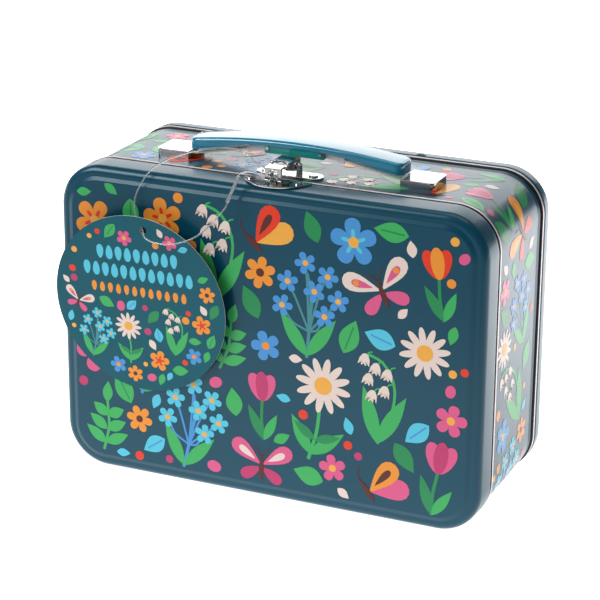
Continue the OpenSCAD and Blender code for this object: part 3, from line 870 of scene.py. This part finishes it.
BAND_RECIPE = [(TALL, 18, 600, 35, (1.3, 1.6)), (WIDE, 20, 600, 60, (1.2, 1.5)),
               (SMALL, 40, 500, 180, (1.3, 1.7)), (TINY, 60, 400, 180, (1.1, 1.5))]
band_shapes = scatter(STRIP_BACK - STRIP_FRONT, ROUND, 5, BAND_RECIPE)
print_on("band_print", band_shapes, on_band, "case")

# %% [markdown]
# ## Hang tag
# The tag is a disc of varnished card with a punched hole. It is a ring of points from the hole's edge to the
# rim, blended between the two circles, on both faces, with a straight cut edge. Small flowers, leaves and
# three rows of petals are printed on its face.

# %% Hang tag
TAG_C, TAG_R, TAG_T, TAG_LEAN = np.array([-58.0, -46.0, 84.0]), 41.5, 0.5, math.radians(5)
HOLE, HOLE_R = np.array([4.0, 35.5]), 1.6
TAG_UP = np.array([0.0, -math.sin(TAG_LEAN), math.cos(TAG_LEAN)])
TAG_OUT = np.array([0.0, -math.cos(TAG_LEAN), -math.sin(TAG_LEAN)])


def on_tag(x, y, height):
    """Across and up on the card's middle plane, height towards the front."""
    flat = TAG_C + np.asarray(x)[:, None] * np.array([1.0, 0, 0]) + np.asarray(y)[:, None] * TAG_UP
    return flat + np.asarray(height)[:, None] * TAG_OUT


t = np.linspace(0, 2 * np.pi, 129)[:-1]
circle = np.column_stack([np.cos(t), np.sin(t)])
levels = np.array([0.0, 0.02, 0.3, 0.7, 0.995, 1.0])[:, None, None]
rings = (1 - levels) * (HOLE + HOLE_R * circle) + levels * TAG_R * circle
bevel = np.where((levels[:, 0, 0] == 0) | (levels[:, 0, 0] == 1), TAG_T / 2 - 0.06, TAG_T / 2)
heights = np.broadcast_to(bevel[:, None], rings.shape[:2])
front_side = on_tag(rings[..., 0].ravel(), rings[..., 1].ravel(), heights.ravel()).reshape(6, -1, 3)
back_side = on_tag(rings[..., 0].ravel(), rings[..., 1].ravel(), -heights.ravel()).reshape(6, -1, 3)
loop = np.concatenate([front_side, back_side[::-1]]).reshape(-1, 3)
quads = grid_faces(12, 128, wrap_rows=True, wrap_columns=True)
slots = np.where((quads[:, 0] // 128 == 5) | (quads[:, 0] // 128 == 11), 1, 0)
tag_card = piece("tag_card", loop, quads.tolist(), [CARD_TEAL, CARD_EDGE], slots)
for flat in tag_card.data.polygons:
    flat.use_smooth = False
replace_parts(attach(tag_card, "tag"), "swing_tag")


def off_tag(x, y):
    """True outside the card's printed disc and round its hole and its rows of petals."""
    u, v = x - TAG_R, y - TAG_R
    lines = (v > 2) & (v < 27) & (np.abs(u) < 29)
    return (np.hypot(u, v) > TAG_R - 2.2) | (np.hypot(u - HOLE[0], v - HOLE[1]) < 5) | lines


TAG_RECIPE = [([bells, tall_daisy, lambda: spray("sky", "stem")], 3, 900, 14, (0.85, 0.95)),
              ([moth, lambda: layered_blossom("orange", "red", "red")], 3, 900, 30, (0.7, 0.85)),
              (SMALL, 14, 500, 180, (0.8, 1.0)), (TINY, 30, 400, 180, (0.85, 1.15))]
scattered = scatter(2 * TAG_R, 2 * TAG_R, 3, TAG_RECIPE, off_tag, 0.6)
tag_shapes = [(v - TAG_R, f, c, layer) for v, f, c, layer in scattered]
for level, ink_name, half, count, tall in ((19.6, "sky", 18, 9, 6.6), (11.2, "sky", 25, 12, 6.6),
                                           (3.6, "orange", 22, 12, 4.8)):
    for k, x in enumerate(np.linspace(-half, half, count)):
        flip = 180 * (k % 2)
        shape = turned(petal(tall, 0.62 * tall, 0.35), flip, (x, level + tall * (k % 2)))
        tag_shapes.append(fan(shape, ink_name, 0))
print_on("tag_print", tag_shapes, lambda x, y, h: on_tag(x, y, h + TAG_T / 2 - 0.02), "tag")

# %% [markdown]
# ## Nylon string
# The tag hangs on a loop of clear nylon 0.7 mm thick. It runs from the sleeve down to the hole, up over the
# lid's top edge to the front of the grip, and through the latch's padlock eye back into the sleeve. The
# route's points are the ones that the working model uses; a Catmull-Rom curve runs smoothly through them.

# %% String and sleeve
LOCK_A, LOCK_B = np.array([-15.5, -46.0, 136.0]), np.array([-11.0, -44.0, 147.8])


def on_lock(share):
    return LOCK_A + share * (LOCK_B - LOCK_A)


ROUTE = np.array([
    on_lock(0.48), on_lock(0.2), on_lock(-0.25), (-24, -50, 124), (-30, -52, 119.5), (-38.5, -53, 116.5),
    (-46.5, -53, 116), (-51.6, -52.3, 117.3), (-54, -49.7, 119.4), (-56.6, -47, 121),
    (-59.6, -45.4, 124), (-60.8, -44.4, 129), (-59.8, -43.6, 134), (-57.4, -43, 139),
    (-54.6, -41.6, 143.6), (-52.8, -38, 145.6), (-50.6, -32, 147), (-46.6, -26, 148.2),
    (-40.6, -20.6, 149.6), (-33, -16.6, 150.3), (-26, -14.4, 150.2), (-21, -15.2, 148.6),
    (-15, -18.6, 147), (-7, -24.6, 146), (-2.6, -28.4, 145.6), (0, -30.3, 145.6),
    (0.6, -33, 145.8), (0, -36.2, 146.8), (-3, -40, 148.6), (-7, -42.7, 149.9),
    on_lock(1.08), on_lock(0.8), on_lock(0.56)])


def through(points, steps):
    """Catmull-Rom: each span is a cubic whose ends lean along the neighbours' chord."""
    p = np.vstack([points[:1], points, points[-1:]])
    t = (np.arange(steps) / steps)[None, :, None]
    a, b, c, d = (p[k:len(p) - 3 + k, None, :] for k in range(4))
    cubic = 2 * b + t * (c - a) + t ** 2 * (2 * a - 5 * b + 4 * c - d) + t ** 3 * (3 * b - a - 3 * c + d)
    return np.vstack([(0.5 * cubic).reshape(-1, 3), points[-1:]])


def tube(name, line, radii, sides, material):
    """Rings square to a line, their first side carried along without twist; the ends are closed by flat faces.
    """
    ahead = np.gradient(line, axis=0)
    ahead /= np.linalg.norm(ahead, axis=1)[:, None]
    side, sides_found = np.array([0.3, 0.9, -0.2]), []
    for direction in ahead:
        side = side - (side @ direction) * direction
        side /= np.linalg.norm(side)
        sides_found.append(side)
    u = np.array(sides_found)
    v = np.cross(ahead, u)
    t = np.linspace(0, 2 * np.pi, sides + 1)[:-1]
    radii = np.broadcast_to(radii, len(line))[:, None, None]
    spokes = np.cos(t)[None, :, None] * u[:, None] + np.sin(t)[None, :, None] * v[:, None]
    rings = line[:, None, :] + radii * spokes
    faces = grid_faces(len(line), sides, wrap_columns=True).tolist()
    faces += [list(range(sides)), list(range((len(line) - 1) * sides, len(line) * sides))]
    return piece(name, rings.reshape(-1, 3), faces, [material])


route = through(ROUTE, 6)
string = tube("tag_loop", route, 0.35, 12, NYLON)
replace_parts(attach(string, "lid"), "tag_string")
sleeve_line = np.array([on_lock(k) for k in (0, 0.02, 0.08, 0.14, 0.3, 0.5, 0.7, 0.86, 0.92, 0.98, 1)])
sleeve_radii = [0.6, 0.82, 0.85, 0.76, 0.72, 0.72, 0.72, 0.76, 0.85, 0.82, 0.6]
sleeve = tube("string_sleeve", sleeve_line, sleeve_radii, 20, NYLON)
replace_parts(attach(sleeve, "lid"), "tag_lock")

# %% [markdown]
# ## Grip
# The grip is moulded: an arched slab with a skirt on each side, a channel between the skirts for the steel
# arms, a window in each skirt, and a solid block in the middle. Its section is worked out at every station
# along the handle. The slab's top follows a circle; the skirts' lower edge runs straight, just above the
# arms; the width closes round the ends. Where the channel stops, its ceiling drops to the skirts' edge.
# The block is drawn solid. The working grip has pockets in it for the arms' folded ends, which here lie
# inside the block.

# %% Grip
near, far = (np.array(p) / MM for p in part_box("handle_grip"))
GRIP_HALF, GRIP_Y, GRIP_TOP = far[0], (near[1] + far[1]) / 2, far[2]
GRIP_W, ARCH_R, EDGE, SLAB = far[1] - near[1], 335.3, 1.6, 2.6
PLAN_R, SKIRT_WALL, SKIRT_DEPTH = 4, 1.6, 6
PIN_X, SKIRT_AT_PIN, SKIRT_FALL = 12.5, 153.9, 0.193
CHANNEL, WINDOW = (10.6, 38), (14.5, 23.5)


def grip_sections(x):
    """Section points (station, point, xyz) of the grip at each x."""
    a = np.abs(x)
    past = np.clip(a - (GRIP_HALF - PLAN_R), 0, PLAN_R)
    half = GRIP_W / 2 - PLAN_R + np.sqrt(PLAN_R ** 2 - past ** 2)
    tip = np.clip(a - (GRIP_HALF - EDGE), 0, EDGE)
    top = GRIP_TOP - ARCH_R + np.sqrt(ARCH_R ** 2 - x ** 2) - (EDGE - np.sqrt(EDGE ** 2 - tip ** 2)) * 0.7
    skirt = np.maximum(SKIRT_AT_PIN - SKIRT_FALL * (a - PIN_X), top - SKIRT_DEPTH)
    open_side = (a > WINDOW[0]) & (a < WINDOW[1])
    skirt = np.where((a <= WINDOW[0]) | open_side, top - SLAB - 0.02, skirt)
    ceiling = np.where((a > CHANNEL[0]) & (a < CHANNEL[1]), top - SLAB, skirt)
    inner = np.minimum(GRIP_W / 2 - SKIRT_WALL, half - SKIRT_WALL)
    bend = np.linspace(0, np.pi / 2, 7)
    right_y = half[:, None] - EDGE + EDGE * np.cos(bend)
    right_z = top[:, None] - EDGE + EDGE * np.sin(bend)
    y = np.column_stack([half, right_y, -right_y[:, ::-1], -half, -inner, -inner, inner, inner])
    z = np.column_stack([skirt, right_z, right_z[:, ::-1], skirt, skirt, ceiling, ceiling, skirt])
    return np.stack([np.broadcast_to(x[:, None], y.shape), y + GRIP_Y, z], axis=-1)


ends = GRIP_HALF - PLAN_R * (1 - np.sin(np.linspace(0, np.pi / 2, 13)))
steps = np.concatenate([np.linspace(0, 10.59, 6), [10.61], np.linspace(12, 14.49, 3), [14.51],
                        np.linspace(16, 23.49, 6), [23.51], np.linspace(25, 37.99, 10), [38.01],
                        np.linspace(40, 45.5, 5), ends])
stations = np.concatenate([-steps[::-1], steps[1:]])
points = grip_sections(stations)
rows, columns = points.shape[:2]
faces = grid_faces(rows, columns, wrap_columns=True).tolist()
faces += [list(range(columns)), list(range((rows - 1) * columns, rows * columns))]
grip = piece("grip", points.reshape(-1, 3), faces, [GRIP_BLUE])
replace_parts(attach(grip, "handle"), "handle_grip")
block_low, block_high = np.array([-14, GRIP_Y - 6.2, 149.2]), np.array([14, GRIP_Y + 6.2, 153.6])
corners = np.array([(x, y, z) for x in (0, 1) for y in (0, 1) for z in (0, 1)])
block = piece("grip_block", block_low + corners * (block_high - block_low),
              [[0, 1, 3, 2], [4, 6, 7, 5], [0, 4, 5, 1], [2, 3, 7, 6], [0, 2, 6, 4], [1, 5, 7, 3]],
              [GRIP_BLUE], smooth=False)
ease = block.modifiers.new("ease", "BEVEL")
ease.width, ease.segments = 0.5 * MM, 3
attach(block, "handle")
print("grip:", rows, "stations")

# %% [markdown]
# ## Hardware
# The latch, hinges, brackets and arms keep their working shapes. Pressed metal has no knife edges, so
# each gets a small bevel, after a weld that joins the loose triangles, and its own finish.

# %% Hardware finishes
def dressed(node, material, bevel):
    """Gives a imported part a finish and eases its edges."""
    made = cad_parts[node]
    if not len(made.data.materials):
        made.data.materials.append(material)
    for k in range(len(made.data.materials)):
        made.data.materials[k] = material
    if bevel:
        weld = made.modifiers.new("weld", "WELD")
        weld.merge_threshold = 0.000002
        ease = made.modifiers.new("ease", "BEVEL")
        ease.width, ease.segments, ease.angle_limit = bevel * MM, 2, math.radians(35)
        ease.harden_normals = False
    return made


FINISHES = {
    "hinge": (HINGE_STEEL, 0.08), "latch": (NICKEL, 0.12), "bracket": (NICKEL, 0.18),
    "handle_pin": (NICKEL, 0.0), "handle_arm": (STRAP_STEEL, 0.15),
}
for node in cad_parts:
    for start, (material, bevel) in FINISHES.items():
        if node.startswith(start):
            dressed(node, material, bevel)
            print("finished", node)

# %% [markdown]
# ## Stage
# The floor behind the case is the bright part of the studio: it glows in the lacquer at a low angle. In
# front, outside the camera's view, it falls away to grey: a dark thing for the plated parts to mirror.
# A broad soft light behind, one overhead and a low one at the front left do the rest.

# %% Stage and light
def softbox(name, place, aim, width, height, brightness):
    """An even panel of light; brightness is per area, so size and strength stay apart."""
    lamp = bpy.data.lights.new(name, "AREA")
    lamp.shape, lamp.size, lamp.size_y = "RECTANGLE", width, height
    lamp.energy = brightness * math.pi * width * height
    made = bpy.data.objects.new(name, lamp)
    made.location = place
    made.rotation_euler = (Vector(aim) - Vector(place)).to_track_quat("-Z", "Y").to_euler()
    scene.collection.objects.link(made)


floor_finish = Finish("pale_floor", Base_Color=(0.6, 0.6, 0.6, 1), Roughness=0.9, Specular_IOR_Level=0.1)
depth = floor_finish.node("ShaderNodeSeparateXYZ", {}, {"Vector": floor_finish.place()}, out="Y")
near = colour_mix(floor_finish, depth.clip(-0.34, -0.19), (0.0, 0.0, 0.0, 1), (0.36, 0.36, 0.36, 1))
glow = colour_mix(floor_finish, depth.clip(-0.1, 0.25), near, (1.0, 1.0, 1.0, 1))
floor_finish.set(Emission_Color=glow, Emission_Strength=2.2)
HALF_FLOOR = 3.0 / MM
floor_corners = HALF_FLOOR * np.array([(-1, -1, 0), (1, -1, 0), (1, 1, 0), (-1, 1, 0)]) - (0, 0, 0.05)
floor = piece("floor", floor_corners, [[0, 1, 2, 3]], [floor_finish.material], closed=False)
softbox("behind", (-0.45, 1.05, 0.62), (0, 0, 0.12), 2.0, 0.8, 2.1)
softbox("overhead", (0.1, 0.0, 1.25), (0, 0, 0.1), 0.9, 0.9, 1.3)
softbox("front_left", (-0.95, -1.0, 1.05), (0, 0, 0.08), 0.9, 0.8, 8.0)
world = bpy.data.worlds.new("studio")
world.use_nodes = True
world.node_tree.nodes["Background"].inputs["Color"].default_value = (0.9, 0.95, 1.0, 1)
world.node_tree.nodes["Background"].inputs["Strength"].default_value = 0.12
scene.world = world
scene.view_settings.view_transform = "Standard"
print("stage set")
